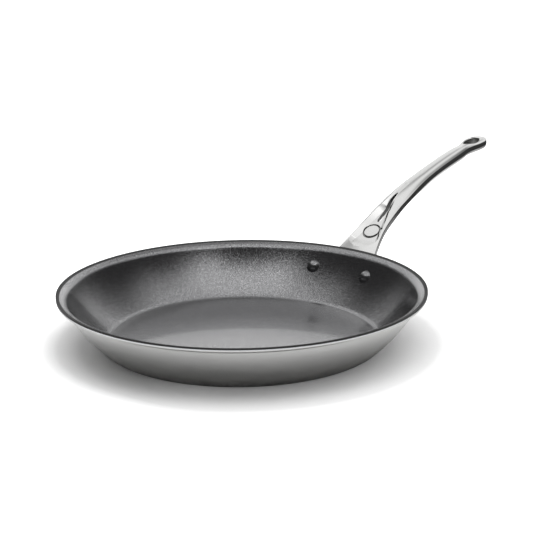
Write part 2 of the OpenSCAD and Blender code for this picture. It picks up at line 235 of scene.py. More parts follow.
def turned_tree(name):
    """A tree that turns an outline round the pan's axis into a closed, smooth solid."""
    tree = bpy.data.node_groups.new(name, "GeometryNodeTree")
    tree.interface.new_socket("Outline", in_out="INPUT", socket_type="NodeSocketGeometry")
    for label, kind, value in (("Turning radius", "NodeSocketFloat", TURNING_R),
                               ("Turns", "NodeSocketInt", TURNS),
                               ("Seam gap", "NodeSocketFloat", SEAM_GAP),
                               ("Finish", "NodeSocketMaterial", None)):
        socket = tree.interface.new_socket(label, in_out="INPUT", socket_type=kind)
        if value is not None:
            socket.default_value = value
    tree.interface.new_socket("Solid", in_out="OUTPUT", socket_type="NodeSocketGeometry")
    sizes = tree.nodes.new("NodeGroupInput")
    steps = [tree.nodes.new("GeometryNode" + kind) for kind in
             ("MeshToCurve", "CurvePrimitiveCircle", "CurveToMesh", "MergeByDistance", "SetShadeSmooth",
              "RealizeInstances", "SetMaterial")]
    outline, circle, sweep, merge, smooth, realize, finish = steps
    out = tree.nodes.new("NodeGroupOutput")
    for source, target in (
            (sizes.outputs["Outline"], outline.inputs[0]),
            (sizes.outputs["Turning radius"], circle.inputs["Radius"]),
            (sizes.outputs["Turns"], circle.inputs["Resolution"]),
            (circle.outputs["Curve"], sweep.inputs["Curve"]),
            (outline.outputs[0], sweep.inputs["Profile Curve"]),
            (sweep.outputs[0], merge.inputs["Geometry"]),
            (sizes.outputs["Seam gap"], merge.inputs["Distance"]),
            (merge.outputs[0], smooth.inputs["Geometry"]),
            (smooth.outputs[0], realize.inputs[0]),
            (realize.outputs[0], finish.inputs["Geometry"]),
            (sizes.outputs["Finish"], finish.inputs["Material"]),
            (finish.outputs[0], out.inputs[0])):
        tree.links.new(source, target)
    return tree


TURNED = turned_tree("turned_sheet")


def grown(piece, tree, **values):
    """Runs a tree on a piece and leaves its result as the piece's plain mesh."""
    modifier = piece.modifiers.new(tree.name, "NODES")
    modifier.node_group = tree
    for item in tree.interface.items_tree:
        if item.item_type == "SOCKET" and item.in_out == "INPUT" and item.name in values:
            modifier[item.identifier] = values[item.name]
    evaluated = piece.evaluated_get(bpy.context.evaluated_depsgraph_get())
    result = bpy.data.meshes.new_from_object(evaluated)
    piece.modifiers.remove(modifier)
    piece.data = result
    return piece


def facing_out(piece):
    """Turns the faces of a closed piece outward."""
    skin = bmesh.new()
    skin.from_mesh(piece.data)
    bmesh.ops.recalc_face_normals(skin, faces=skin.faces)
    if skin.calc_volume(signed=True) < 0:
        bmesh.ops.reverse_faces(skin, faces=skin.faces)
    skin.to_mesh(piece.data)
    skin.free()


def turned(name, outline, finish):
    """A solid turned from an outline of radius and height that starts and ends on the axis."""
    points = [(r - TURNING_R, -z, 0) for r, z in outline]
    edges = [(i, i + 1) for i in range(len(points) - 1)]
    piece = mesh_object(name, points, (), edges)
    grown(piece, TURNED, Finish=finish.material)
    facing_out(piece)
    piece.data.set_sharp_from_angle(angle=CREASE_ANGLE)
    return piece


SCRATCHES_PER_M = 9000
SCRATCHES_PER_RADIAN = 3
STEEL_CLOUDS_PER_M = 26.0
STEEL_DULL = (0.56, 0.56, 0.555, 1)
STEEL_BRIGHT = (0.70, 0.70, 0.69, 1)
SCRATCH_DEPTH = 0.04 * MM


def ground_steel():
    """Fine rings round the axis, under a faint cloud of uneven grinding."""
    made = Finish("ground_steel", Metallic=1.0, Anisotropic=0.55)
    point, x, y, z = made.place()
    radius = (x * x + y * y) ** 0.5
    turn = y.maths("ARCTAN2", x)
    rings = made.vector(radius * SCRATCHES_PER_M, turn * SCRATCHES_PER_RADIAN, z * SCRATCHES_PER_M)
    scratches = made.noise(rings, 1.0, 3.0, 0.6)
    cloud = made.noise(point, STEEL_CLOUDS_PER_M, 3.0)
    tone = scratches * 0.10 + cloud * 0.05 - 0.075
    made.feed("Base Color", made.mixed((tone * 4 + 0.5).clamped(), STEEL_DULL, STEEL_BRIGHT))
    made.feed("Roughness", (scratches * 0.14 + cloud * 0.06 + 0.21).clamped())
    made.bump(scratches, 0.12, SCRATCH_DEPTH)
    return made


GROUND_STEEL = ground_steel()
OUTER_LINE = face_line(0, METAL_EDGE_R) + face_line(OUTER_STEEL_T, METAL_EDGE_R)[::-1]
outer_steel = turned("outer_steel_skin", OUTER_LINE, GROUND_STEEL)
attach(outer_steel, "root")
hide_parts("outer_steel_ply")


# THE PLIES INSIDE
# Two sheets of pure aluminium bond an alloy core to the steel on either side. A fine line
# of them shows at the lip's cut edge, and the inner steel lies under the coat.
ALUMINIUM_DULL = (0.70, 0.71, 0.73, 1)
ALUMINIUM_BRIGHT = (0.84, 0.85, 0.86, 1)
ROLLING_PER_M = 40
ROLLING_ACROSS_PER_M = 900


def rolled_aluminium():
    """The long grain that the rolls leave along X."""
    made = Finish("rolled_aluminium", Metallic=1.0)
    _, x, y, z = made.place()
    rolling = made.vector(x * ROLLING_PER_M, y * ROLLING_ACROSS_PER_M, z * ROLLING_PER_M)
    grain = made.noise(rolling, 1.0, 2.0)
    made.feed("Base Color", made.mixed(grain, ALUMINIUM_DULL, ALUMINIUM_BRIGHT))
    made.feed("Roughness", grain * 0.2 + 0.32)
    return made


def keep_node(name, finish):
    """Gives a CAD node that stays as it is its material."""
    mesh = bpy.data.objects[name].data
    mesh.materials.clear()
    mesh.materials.append(finish.material)


ROLLED_ALUMINIUM = rolled_aluminium()
for ply in ("lower_bond_ply", "alloy_core_ply", "upper_bond_ply"):
    keep_node(ply, ROLLED_ALUMINIUM)
keep_node("inner_steel_ply", GROUND_STEEL)


# THE RIVETS
# Two solid steel rivets. Their heads stand on the inner steel, under the coat, and
# their tails are headed over behind the flange.
RIVET_GAP = 53 * MM
RIVET_H = 25 * MM
HEAD_D = 10.5 * MM
HEAD_H = 3.4 * MM
RIVET_SLOPE = math.acos((BOW_C[1] - RIVET_H) / BOW_R)
RIVET_R = BOW_C[0] + BOW_R * math.sin(RIVET_SLOPE)
RIVET_TURN = math.asin(RIVET_GAP / 2 / RIVET_R)

for rivet in ("left_rivet", "right_rivet"):
    keep_node(rivet, GROUND_STEEL)


def at_rivet(side):
    """The frame of a rivet: zero height on the outer face of the wall, +Z into the pan."""
    return (Matrix.Rotation(side * RIVET_TURN, 4, "Z") @ Matrix.Translation((RIVET_R, 0, RIVET_H))
            @ Matrix.Rotation(-RIVET_SLOPE, 4, "Y"))


# THE NON-STICK COAT
# A dark fluoropolymer film with fine metal flakes, sprayed on after riveting. It wraps
# over the top of the lip's cut edge and runs over both rivet heads.
COAT_WRAP_H = 1.6 * MM
# Painted shade: a black band this wide runs along the lip's edge, fading in over this length.
PAINTED_RIM_SHADE_W = 2.4 * MM
PAINTED_RIM_SHADE_FADE = 0.6 * MM
FLAKES_PER_M = 4200.0
FLAKE_TILT = 0.13
MOTTLE_PER_M = 700.0
FILM_DARK = (0.16, 0.16, 0.165, 1)
FILM_FLAKE = (0.55, 0.55, 0.56, 1)
# The black of the painted shade along the lip's edge.
PAINTED_RIM_SHADE = (0.02, 0.02, 0.02, 1)


def flaked_coat():
    """A film whose flakes each lean their own way, with painted shade: matte black along the lip's edge."""
    made = Finish("flaked_coat", Coat_Roughness=0.07, Coat_IOR=1.5)
    point, x, y, _ = made.place()
    cells = made.node("ShaderNodeTexVoronoi", {}, {"Vector": point, "Scale": FLAKES_PER_M}, "Color")
    level = made.node("ShaderNodeSeparateColor", {}, {"Color": cells})
    flake = level ** 3
    mottle = made.noise(point, MOTTLE_PER_M, 2.0)
    # Painted shade: near the rim the film turns matte black, for the dark line along the lip's edge.
    inside = ((x * x + y * y) ** 0.5).falling(RIM_R - PAINTED_RIM_SHADE_W, PAINTED_RIM_SHADE_FADE)
    film = made.mixed(flake, FILM_DARK, FILM_FLAKE)
    made.feed("Base Color", made.mixed(inside, PAINTED_RIM_SHADE, film))
    made.feed("Metallic", inside * 0.95)
    made.feed("Coat Weight", inside * 0.5)
    made.feed("Roughness", (mottle * 0.06 + 0.14 + (1 - inside) * 0.45).clamped())
    lean = made.node("ShaderNodeVectorMath", {"operation": "SUBTRACT"}, {0: cells, 1: (0.5, 0.5, 0.5)})
    lean = made.node("ShaderNodeVectorMath", {"operation": "SCALE"}, {0: lean, "Scale": FLAKE_TILT})
    facing = made.node("ShaderNodeNewGeometry", {}, {}, "Normal")
    facing = made.node("ShaderNodeVectorMath", {"operation": "ADD"}, {0: facing, 1: lean})
    made.feed("Normal", made.node("ShaderNodeVectorMath", {"operation": "NORMALIZE"}, {0: facing}))
    return made


FLAKED_COAT = flaked_coat()
WRAP_Z = PAN_H - COAT_WRAP_H
COAT_LINE = (face_line(METAL_T, METAL_EDGE_R)
             + [Vector((METAL_EDGE_R, WRAP_Z)), Vector((RIM_R, WRAP_Z))]
             + face_line(SHEET_T, RIM_R)[::-1])
coat = turned("coat_film", COAT_LINE, FLAKED_COAT)
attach(coat, "root")
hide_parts("nonstick_coat")

HEAD_FILLET = 0.7 * MM
HEAD_BALL_R = (HEAD_D ** 2 / 4 + HEAD_H ** 2) / (2 * HEAD_H)
CAP_STEPS = 20
FLARE_STEPS = 6


def head_outline():
    """Outline of the film over a head: a ball's cap that flows into the wall."""
    ball = HEAD_BALL_R + COAT_T
    centre_h = METAL_T + HEAD_H - HEAD_BALL_R
    foot = math.acos((SHEET_T + HEAD_FILLET - centre_h) / (ball + HEAD_FILLET))
    cap = [(ball * math.sin(foot * i / CAP_STEPS), centre_h + ball * math.cos(foot * i / CAP_STEPS))
           for i in range(CAP_STEPS + 1)]
    hollow = ((ball + HEAD_FILLET) * math.sin(foot), SHEET_T + HEAD_FILLET)
    flare = [(hollow[0] - HEAD_FILLET * math.sin(foot * (1 - i / FLARE_STEPS)),
              hollow[1] - HEAD_FILLET * math.cos(foot * (1 - i / FLARE_STEPS)))
             for i in range(1, FLARE_STEPS + 1)]
    under = [(flare[-1][0], METAL_T), (0, METAL_T)]
    return cap + flare + under


for side, name in ((1, "left_head_film"), (-1, "right_head_film")):
    head = turned(name, head_outline(), FLAKED_COAT)
    head.data.transform(at_rivet(side))
    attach(head, "root")
    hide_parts("nonstick_coat")


# THE HANDLE
# One stainless casting, polished all over: a flange that follows the wall, a sunk panel
# with a plain disc, a valley with a slot between two rails, a crowned grip, a hanging eye.
FLANGE_T = 4 * MM
FLANGE_BOSS_R = 9 * MM
HANDLE_REACH = 199 * MM
TIP_RISE = 61 * MM
ROOT_W = 41 * MM
SHOULDER_W = 27 * MM
FORK_W = 21.4 * MM
GRIP_W = 14.4 * MM
NECK_W = 12 * MM
EYE_W = 19.4 * MM
FORK_CROWN_H = 5 * MM
GRIP_CROWN_H = 3.6 * MM
FORK_SIDE_H = 4 * MM
GRIP_SIDE_H = 3.7 * MM
GRIP_CHAMFER_H = 2.3 * MM
PANEL_W = 26.8 * MM
PANEL_DEPTH = 3.4 * MM
HOLLOW_SLOPE = math.radians(40)
FLOOR_T = 2.4 * MM
VALLEY_DEPTH = 3.7 * MM
SLOT_W = 3.4 * MM
RING_D = 15.8 * MM
RING_W = 1.3 * MM
RING_DEPTH = 0.9 * MM
DISC_H = 0.5 * MM
POCKET_ROUND = 0.2 * MM
DISC_ROUND = 0.5 * MM
DISC_ROOT = 0.5 * MM
EYE_OPEN_W = 12.4 * MM
EDGE_ROUND = 0.8 * MM
RAIL_EDGE_W = 1.6 * MM
SLOT_LEDGE_W = 0.3 * MM
SLOT_ROUND_W = 3 * MM
EYE_BEVEL_W = 1 * MM
EYE_BEVEL_H = 0.6 * MM
CHAMFER_IN_SHARE = 0.4
EDGE_FALL_SHARE = 0.6
FLANGE_IN_SHARE = 0.75
ROOT_PULL_SHARE = 0.3
TIP_PULL_SHARE = 0.57
TIP_POWER = 2.2
EYE_POINT_POWER = 0.8
CREASE_MIN_SHARE = 0.2
ROOT_SLOPE = math.radians(44)
TIP_SLOPE = math.radians(8)
EDGE_A = Vector((RIVET_R, RIVET_H)) + FLANGE_T * FLANGE_IN_SHARE * slope_out(RIVET_SLOPE)
EDGE_B = EDGE_A + HANDLE_REACH * ROOT_PULL_SHARE * Vector((math.cos(ROOT_SLOPE), math.sin(ROOT_SLOPE)))
EDGE_D = Vector((RIM_R + HANDLE_REACH, PAN_H + TIP_RISE))
EDGE_C = EDGE_D - HANDLE_REACH * TIP_PULL_SHARE * Vector((math.cos(TIP_SLOPE), math.sin(TIP_SLOPE)))
ROOT_SHARE = (EDGE_A[0] - RIM_R) / HANDLE_REACH
PANEL_LOW, PANEL_WIDE, DISC_SHARE = 0.048, 0.092, 0.138
SLOT_LOW, SLOT_TAPER, SLOT_TIP, VALLEY_TIP = 0.185, 0.3, 0.343, 0.42
FULLER_FROM, FULLER_TO, MIDDLE, GRIP_TOP = 0.3, 0.5, 0.6, 0.8
EYE_LOW, EYE_WIDE, EYE_HIGH, TIP_WIDE, TIP_LAST = 0.855, 0.915, 0.957, 0.943, 0.9995
SLOT_ROUNDED = SLOT_LOW + SLOT_ROUND_W / HANDLE_REACH

WIDTHS = [(0, ROOT_W), (0.13, SHOULDER_W), (0.265, FORK_W), (0.35, (5 * FORK_W + GRIP_W) / 6),
          (0.49, (FORK_W + 3 * GRIP_W) / 4), (0.61, GRIP_W * 1.02), (0.71, GRIP_W),
          (0.785, (3 * GRIP_W + NECK_W) / 4), (0.838, NECK_W), (0.875, (3 * NECK_W + EYE_W) / 4),
          (0.91, (NECK_W + 3 * EYE_W) / 4), (TIP_WIDE, EYE_W)]
SIDES = [(ROOT_SHARE, FORK_SIDE_H / 3), (0.02, FORK_SIDE_H * 0.7), (0.13, FORK_SIDE_H * 0.8),
         (0.22, FORK_SIDE_H), (0.35, FORK_SIDE_H * 0.9), (0.46, FORK_SIDE_H), (0.54, GRIP_SIDE_H),
         (0.95, GRIP_SIDE_H), (1, GRIP_SIDE_H * 0.8)]
CHAMFERS = [(ROOT_SHARE, GRIP_CHAMFER_H / 8), (0.02, GRIP_CHAMFER_H / 4), (0.36, GRIP_CHAMFER_H / 4),
            (0.48, GRIP_CHAMFER_H), (0.95, GRIP_CHAMFER_H), (1, GRIP_CHAMFER_H / 2)]
CROWNS = [(ROOT_SHARE, FORK_CROWN_H * 0.15), (0, FORK_CROWN_H * 0.3), (PANEL_LOW, FORK_CROWN_H * 0.5),
          (0.1, FORK_CROWN_H * 0.75), (0.2, FORK_CROWN_H), (0.3, FORK_CROWN_H),
          (0.43, (FORK_CROWN_H + GRIP_CROWN_H) / 2), (0.55, GRIP_CROWN_H), (0.83, GRIP_CROWN_H * 0.95),
          (0.9, GRIP_CROWN_H * 0.7), (1, GRIP_CROWN_H * 0.4)]
CREASES = [(PANEL_WIDE, PANEL_W * 0.5), (0.12, PANEL_W * 0.455), (0.155, PANEL_W * 0.397),
           (0.193, PANEL_W * 0.33), (0.235, PANEL_W * 0.256), (0.275, PANEL_W * 0.182),
           (0.3, PANEL_W * 0.135), (0.325, PANEL_W * 0.092), (0.35, PANEL_W * 0.062),
           (0.38, PANEL_W * 0.034), (VALLEY_TIP, 0)]
DEPTHS = [(PANEL_LOW, 0), (0.062, PANEL_DEPTH * 0.35), (0.085, PANEL_DEPTH * 0.8), (0.11, PANEL_DEPTH),
          (0.16, PANEL_DEPTH), (0.21, VALLEY_DEPTH), (0.255, VALLEY_DEPTH), (0.27, VALLEY_DEPTH * 0.7),
          (0.285, VALLEY_DEPTH * 0.43), (0.3, VALLEY_DEPTH * 0.22), (0.345, VALLEY_DEPTH * 0.16),
          (0.38, VALLEY_DEPTH * 0.1), (VALLEY_TIP, 0)]


def edge(t):
    """A point of the long edges' curve, as distance from the axis and height."""
    return ((1 - t) ** 3 * EDGE_A + 3 * t * (1 - t) ** 2 * EDGE_B
            + 3 * t * t * (1 - t) * EDGE_C + t ** 3 * EDGE_D)


def edge_run(t):
    """The direction of that curve, towards the tip."""
    return ((1 - t) ** 2 * (EDGE_B - EDGE_A) + 2 * t * (1 - t) * (EDGE_C - EDGE_B)
            + t * t * (EDGE_D - EDGE_C)).normalized()


HALVINGS = 30


def edge_at(x):
    """Parameter of that curve at a distance from the axis, by halving."""
    low, high = 0.0, 1.0
    for _ in range(HALVINGS):
        middle = (low + high) / 2
        if edge(middle)[0] < x:
            low = middle
        else:
            high = middle
    return (low + high) / 2


def clipped(value):
    """A value held between 0 and 1."""
    return min(1.0, max(0.0, value))


def fair(table, u):
    """A fair line through a table of places and values."""
    last = len(table) - 2
    i = next((k for k in range(last) if u < table[k + 1][0]), last)

    def lean(k):
        a, b = max(k - 1, 0), min(k + 1, last + 1)
        return (table[b][1] - table[a][1]) / (table[b][0] - table[a][0])

    span = table[i + 1][0] - table[i][0]
    t = clipped((u - table[i][0]) / span)
    return (table[i][1] * (1 + 2 * t) * (1 - t) ** 2 + lean(i) * span * t * (1 - t) ** 2
            + table[i + 1][1] * t * t * (3 - 2 * t) - lean(i + 1) * span * t * t * (1 - t))


def round_in(v):
    """A quarter circle's rise from 0 to 1."""
    return 0.0 if v <= 0 else 1.0 if v >= 1 else math.sqrt(1 - (1 - v) ** 2)


def between(u, low, high):
    """How far a share is on the way from one place to another."""
    return (u - low) / (high - low)


def half_w(u):
    """Half the handle's width, rounded off towards the tip."""
    v = between(u, TIP_WIDE, 1)
    return fair(WIDTHS, u) / 2 * (1 if v <= 0 else max(0, 1 - v ** TIP_POWER) ** (1 / TIP_POWER))


def panel_half(u):
    """Half the width of the panel, or of the valley that it runs into."""
    if u <= PANEL_LOW or u >= VALLEY_TIP:
        return 0.0
    return min(half_w(u) - RAIL_EDGE_W, fair(CREASES, u) * round_in(between(u, PANEL_LOW, PANEL_WIDE)))


def open_half(u):
    """Half the width of the slot or of the eye."""
    if SLOT_LOW < u < SLOT_TIP:
        return (SLOT_W / 2 * round_in((u - SLOT_LOW) * HANDLE_REACH / SLOT_ROUND_W)
                * round_in(between(u, SLOT_TIP, SLOT_LOW) * 2))
    if EYE_LOW < u < EYE_WIDE:
        return EYE_OPEN_W / 2 * math.sin(math.pi / 2 * between(u, EYE_LOW, EYE_WIDE)) ** EYE_POINT_POWER
    if EYE_WIDE <= u < EYE_HIGH:
        return EYE_OPEN_W / 2 * (1 - between(u, EYE_WIDE, EYE_HIGH) ** TIP_POWER) ** (1 / TIP_POWER)
    return 0.0


def spread(a, b, n):
    """n runs between two points, without the last point."""
    return [(a[0] + (b[0] - a[0]) * i / n, a[1] + (b[1] - a[1]) * i / n) for i in range(n)]


CROWN_SHARES = [0, 0.02, 0.08, 0.16, 0.25, 0.35, 0.45, 0.55, 0.65, 0.75, 0.85, 0.94, 1]


def flat_run(a, b):
    """Points along a flat face, with one close to each end so that its shading stays flat."""
    return [(a[0] + (b[0] - a[0]) * share, a[1] + (b[1] - a[1]) * share) for share in (0, 0.04, 0.5, 0.96)]


def half_section(u):
    """Half section at a share of the reach, as distance across and height above the edges."""
    half = half_w(u)
    thin = min(1, half * 2 / GRIP_W)
    crown_h = fair(CROWNS, u) * thin
    chamfer_h = fair(CHAMFERS, u) * thin
    side_h = fair(SIDES, u)
    gap = open_half(u)
    crease = max(panel_half(u) if u < MIDDLE else gap + EYE_BEVEL_W, half * CREASE_MIN_SHARE)
    ease = min(EDGE_ROUND, half / 4)
    sunk = u < MIDDLE and panel_half(u) > 0
    run = fair(DEPTHS, u) / math.tan(HOLLOW_SLOPE) if sunk else EYE_BEVEL_W
    foot = max(crease - max(run, SLOT_LEDGE_W), gap + SLOT_LEDGE_W)
    drop = EYE_BEVEL_H * min(1, gap / EYE_BEVEL_W) if u > MIDDLE else 0
    fullness = 2 + clipped(between(u, FULLER_FROM, FULLER_TO))

    def crown(across):
        return crown_h * (1 - (across / half) ** fullness)

    def floor_z(across):
        return min(crown(across), crown(crease) - fair(DEPTHS, u)) if sunk else crown(across) - drop

    bottom = min(-side_h - chamfer_h, floor_z(gap) - FLOOR_T)
    shoulder = (half - ease / 2, crown(half - ease / 2))
    edge_arc = [((1 - q) ** 2 * shoulder[0] + 2 * q * (1 - q) * half + q * q * half,
                 (1 - q) ** 2 * shoulder[1] + 2 * q * (1 - q) * shoulder[1] * EDGE_FALL_SHARE
                 - q * q * ease / 2)
                for q in (0.25, 0.5, 0.75)]
    heel = (half - chamfer_h * CHAMFER_IN_SHARE, -side_h - chamfer_h)
    tops = [crease + (half - ease / 2 - crease) * share for share in CROWN_SHARES]
    return (spread((gap, floor_z(gap)), (foot, floor_z(foot)), 4)
            + flat_run((foot, floor_z(foot)), (crease, crown(crease)))
            + [(across, crown(across)) for across in tops]
            + edge_arc + flat_run((half, -ease / 2), (half, -side_h)) + flat_run((half, -side_h), heel)
            + flat_run(heel, (gap, bottom)) + [(gap, bottom)])


def placed(u, point, side):
    """A section's point in the pan's frame, on one side of the handle."""
    t = edge_at(RIM_R + HANDLE_REACH * u)
    origin, run = edge(t), edge_run(t)
    return (origin[0] - point[1] * run[1], side * point[0], origin[1] + point[1] * run[0])


def even(a, b, n):
    """Shares at an even pace, without the last."""
    return [a + (b - a) * i / n for i in range(n)]


def closing(a, b, n):
    """Shares that get closer towards the end, where an opening rounds off."""
    return [a + (b - a) * math.sin(math.pi / 2 * i / n) for i in range(n)]


def opening(a, b, n):
    """Shares that start close together, where an opening begins."""
    return [a + (b - a) * (1 - math.cos(math.pi / 2 * i / n)) for i in range(n)]


STATIONS = (even(ROOT_SHARE, 0, 8), even(0, PANEL_LOW, 12), opening(PANEL_LOW, PANEL_WIDE, 24),
            even(PANEL_WIDE, SLOT_LOW, 28), opening(SLOT_LOW, SLOT_ROUNDED, 10),
            even(SLOT_ROUNDED, SLOT_TAPER, 32), closing(SLOT_TAPER, SLOT_TIP, 16),
            even(SLOT_TIP, VALLEY_TIP, 18), even(VALLEY_TIP, MIDDLE, 20), even(MIDDLE, GRIP_TOP, 16),
            even(GRIP_TOP, EYE_LOW, 12), opening(EYE_LOW, EYE_WIDE, 24), closing(EYE_WIDE, EYE_HIGH, 24),
            closing(EYE_HIGH, TIP_LAST, 20), [TIP_LAST])


def cast_body():
    """The casting's skin: mirrored sections, open where the rails part and at the eye."""
    places = [u for run in STATIONS for u in run]
    sections = [half_section(u) for u in places]
    rows = len(places)
    columns = len(sections[0])
    points = [placed(u, point, side) for side in (1, -1)
              for u, section in zip(places, sections) for point in section]
    shut = [open_half(u) == 0 for u in places]

    def point_id(side, i, j):
        shared = side == 1 or (shut[i] and j in (0, columns - 1))
        return (i if shared else rows + i) * columns + j

    faces = []
    inside = []
    for side in (1, -1):
        for i in range(rows - 1):
            for j in range(columns):
                following = (j + 1) % columns
                if following == 0 and shut[i] and shut[i + 1]:
                    continue
                corners = [point_id(side, i, j), point_id(side, i + 1, j),
                           point_id(side, i + 1, following), point_id(side, i, following)]
                painted_ring_reflection = [corner for k, corner in enumerate(corners) if corner != corners[k - 1]]
                if len(painted_ring_reflection) > 2:
                    faces.append(painted_ring_reflection[::-1] if side == 1 else painted_ring_reflection)
                    inside.append(following == 0)
    for i in (0, rows - 1):
        loop = ([point_id(1, i, j) for j in range(columns)]
                + [point_id(-1, i, j) for j in range(columns - 2, 0, -1)])
        faces.append(loop if i == rows - 1 else loop[::-1])
        inside.append(False)
    body = mesh_object("handle_casting", points, faces)
    body.data.materials.append(POLISHED.material)
    # The faces inside the slot and the eye take the steel darkened with painted shade.
    body.data.materials.append(SHADED_RECESS.material)
    for polygon, within in zip(body.data.polygons, inside):
        polygon.material_index = int(within)
    facing_out(body)
    return body


CASTING_DULL = (0.74, 0.74, 0.735, 1)
CASTING_BRIGHT = (0.82, 0.82, 0.81, 1)
# Painted shade: the dark steel of the walls inside slot, eye and ring groove.
RECESS_SHADE_DARK = (0.20, 0.20, 0.20, 1)
RECESS_SHADE_BRIGHT = (0.32, 0.32, 0.31, 1)
POLISH_DEPTH = 0.02 * MM
HAZE_PER_M = 60.0
MOP_LINES_PER_M = (120, 1600, 400)
BELT_LINES_PER_M = (900, 900, 120)


def polished_casting():
    """A mirror polish, a little more satin on top, where hands and cloths rub it."""
    made = Finish("polished_casting", Metallic=1.0)
    point, x, y, z = made.place()
    haze = made.noise(point, HAZE_PER_M, 3.0)
    along, across, up = MOP_LINES_PER_M
    fine = made.noise(made.vector(x * along, y * across, z * up), 1.0, 2.0)
    made.feed("Base Color", made.mixed(haze, CASTING_DULL, CASTING_BRIGHT))
    upward = made.parts(made.node("ShaderNodeNewGeometry", {}, {}, "Normal"))[2]
    satin = upward.rising(0.6, 0.2)
    made.feed("Roughness", (haze * 0.05 + fine * 0.05 + 0.03 + satin * 0.17).clamped())
    made.bump(fine, 0.03, POLISH_DEPTH)
    return made


def linished_casting():
    """The walls of slot, eye and ring groove: a rougher grain, dark with painted shade."""
    made = Finish("linished_casting", Metallic=1.0)
    _, x, y, z = made.place()
    along, across, up = BELT_LINES_PER_M
    grain = made.noise(made.vector(x * along, y * across, z * up), 1.0, 3.0)
    made.feed("Base Color", made.mixed(grain, RECESS_SHADE_DARK, RECESS_SHADE_BRIGHT))
    made.feed("Roughness", grain * 0.2 + 0.3)
    return made


POLISHED = polished_casting()
SHADED_RECESS = linished_casting()


def at_disc():
    """The frame of the disc: zero height on the panel's floor, +Z square to the handle."""
    t = edge_at(RIM_R + HANDLE_REACH * DISC_SHARE)
    origin, run = edge(t), edge_run(t)
    turn = Matrix.Rotation(-math.atan2(run[1], run[0]), 4, "Y")
    floor_z = half_section(DISC_SHARE)[0][1]
    return Matrix.Translation((origin[0], 0, origin[1])) @ turn @ Matrix.Translation((0, 0, floor_z))


def cut_or_joined(body, tool, operation):
    """The body with the tool cut away or joined on, as a plain mesh; the tool goes."""
    modifier = body.modifiers.new("shape", "BOOLEAN")
    modifier.object = tool
    modifier.operation = operation
    modifier.solver = "EXACT"
    modifier.material_mode = "TRANSFER"
    evaluated = body.evaluated_get(bpy.context.evaluated_depsgraph_get())
    result = bpy.data.meshes.new_from_object(evaluated)
    body.modifiers.remove(modifier)
    body.data = result
    bpy.data.objects.remove(tool)
    return body


HAIRLINE = 0.002 * MM


def weld(piece):
    """Closes the hairline seams that the cuts and joins leave."""
    skin = bmesh.new()
    skin.from_mesh(piece.data)
    bmesh.ops.remove_doubles(skin, verts=skin.verts, dist=HAIRLINE)
    skin.to_mesh(piece.data)
    skin.free()


ROUND_STEPS = 5


def disc_outline(low, radius, high, round_r):
    """A small round boss or pocket with a rounded upper edge."""
    turn = [(radius - round_r + round_r * math.sin(math.pi / 2 * i / ROUND_STEPS),
             high - round_r + round_r * math.cos(math.pi / 2 * i / ROUND_STEPS))
            for i in range(ROUND_STEPS + 1)]
    return [(0, high)] + turn + [(radius, low), (0, low)]


def hull_line(points):
    """Points round the outside of a cloud, anticlockwise."""
    def half(line):
        chain = []
        for p in line:
            while len(chain) > 1 and ((chain[-1][0] - chain[-2][0]) * (p[1] - chain[-2][1])
                                      <= (chain[-1][1] - chain[-2][1]) * (p[0] - chain[-2][0])):
                chain.pop()
            chain.append(p)
        return chain[:-1]
    ordered = sorted(points)
    return half(ordered) + half(ordered[::-1])


SETTLING_STEPS = 8


def on_wall(across, up, off):
    """A point off the outer face of the wall, over a place on the plane that touches it."""
    up_x, up_z = math.cos(RIVET_SLOPE), math.sin(RIVET_SLOPE)
    depth = 0.0
    for _ in range(SETTLING_STEPS):
        x = RIVET_R + up * up_x - depth * up_z
        z = RIVET_H + up * up_z + depth * up_x
        gap = (Vector((math.hypot(x, across), z)) - BOW_C).length - BOW_R
        depth += gap - off
    return (x, across, z)


FLANGE_EASE = 1.2 * MM
FLANGE_EASE_SHARE = 0.055
WALL_CLEARANCE = 0.05 * MM
BOSS_POINTS = 72
HANDLE_CREASE_ANGLE = math.radians(28)


def flange_plate():
    """The plate behind the wall, round at both rivets, with an eased outer edge."""
    circles = [(0, side * RIVET_GAP / 2, FLANGE_BOSS_R) for side in (-1, 1)]
    circles += [(-FLANGE_BOSS_R / 3, 0, FLANGE_BOSS_R * 4 / 3)]
    circles += [(FLANGE_BOSS_R, side * ROOT_W / 3, FLANGE_BOSS_R / 3) for side in (-1, 1)]
    turns = [math.tau * i / BOSS_POINTS for i in range(BOSS_POINTS)]
    line = hull_line([(across + r * math.sin(q), up + r * math.cos(q))
                      for up, across, r in circles for q in turns])
    rings = [(1.0, WALL_CLEARANCE)]
    rings += [(1 - FLANGE_EASE_SHARE * (1 - math.cos(q)), FLANGE_T - FLANGE_EASE + FLANGE_EASE * math.sin(q))
              for q in (0, math.pi / 8, math.pi / 4, math.pi * 3 / 8, math.pi / 2)]
    rings += [(share, FLANGE_T) for share in (0.9, 0.75, 0.5, 0.25)]
    points = [on_wall(across * share, up * share, off) for share, off in rings for across, up in line]
    n = len(line)
    faces = [[i * n + j, i * n + (j + 1) % n, (i + 1) * n + (j + 1) % n, (i + 1) * n + j]
             for i in range(len(rings) - 1) for j in range(n)]
    points.append(on_wall(0, 0, FLANGE_T))
    points.append(on_wall(0, 0, WALL_CLEARANCE))
    last = (len(rings) - 1) * n
    faces += [[last + j, last + (j + 1) % n, len(points) - 2] for j in range(n)]
    faces += [[(j + 1) % n, j, len(points) - 1] for j in range(n)]
    plate = mesh_object("flange_plate", points, faces)
    plate.data.materials.append(POLISHED.material)
    facing_out(plate)
    return plate


handle = cast_body()
POCKET_LINE = disc_outline(-RING_DEPTH, RING_D / 2, PANEL_DEPTH + FORK_CROWN_H, POCKET_ROUND)
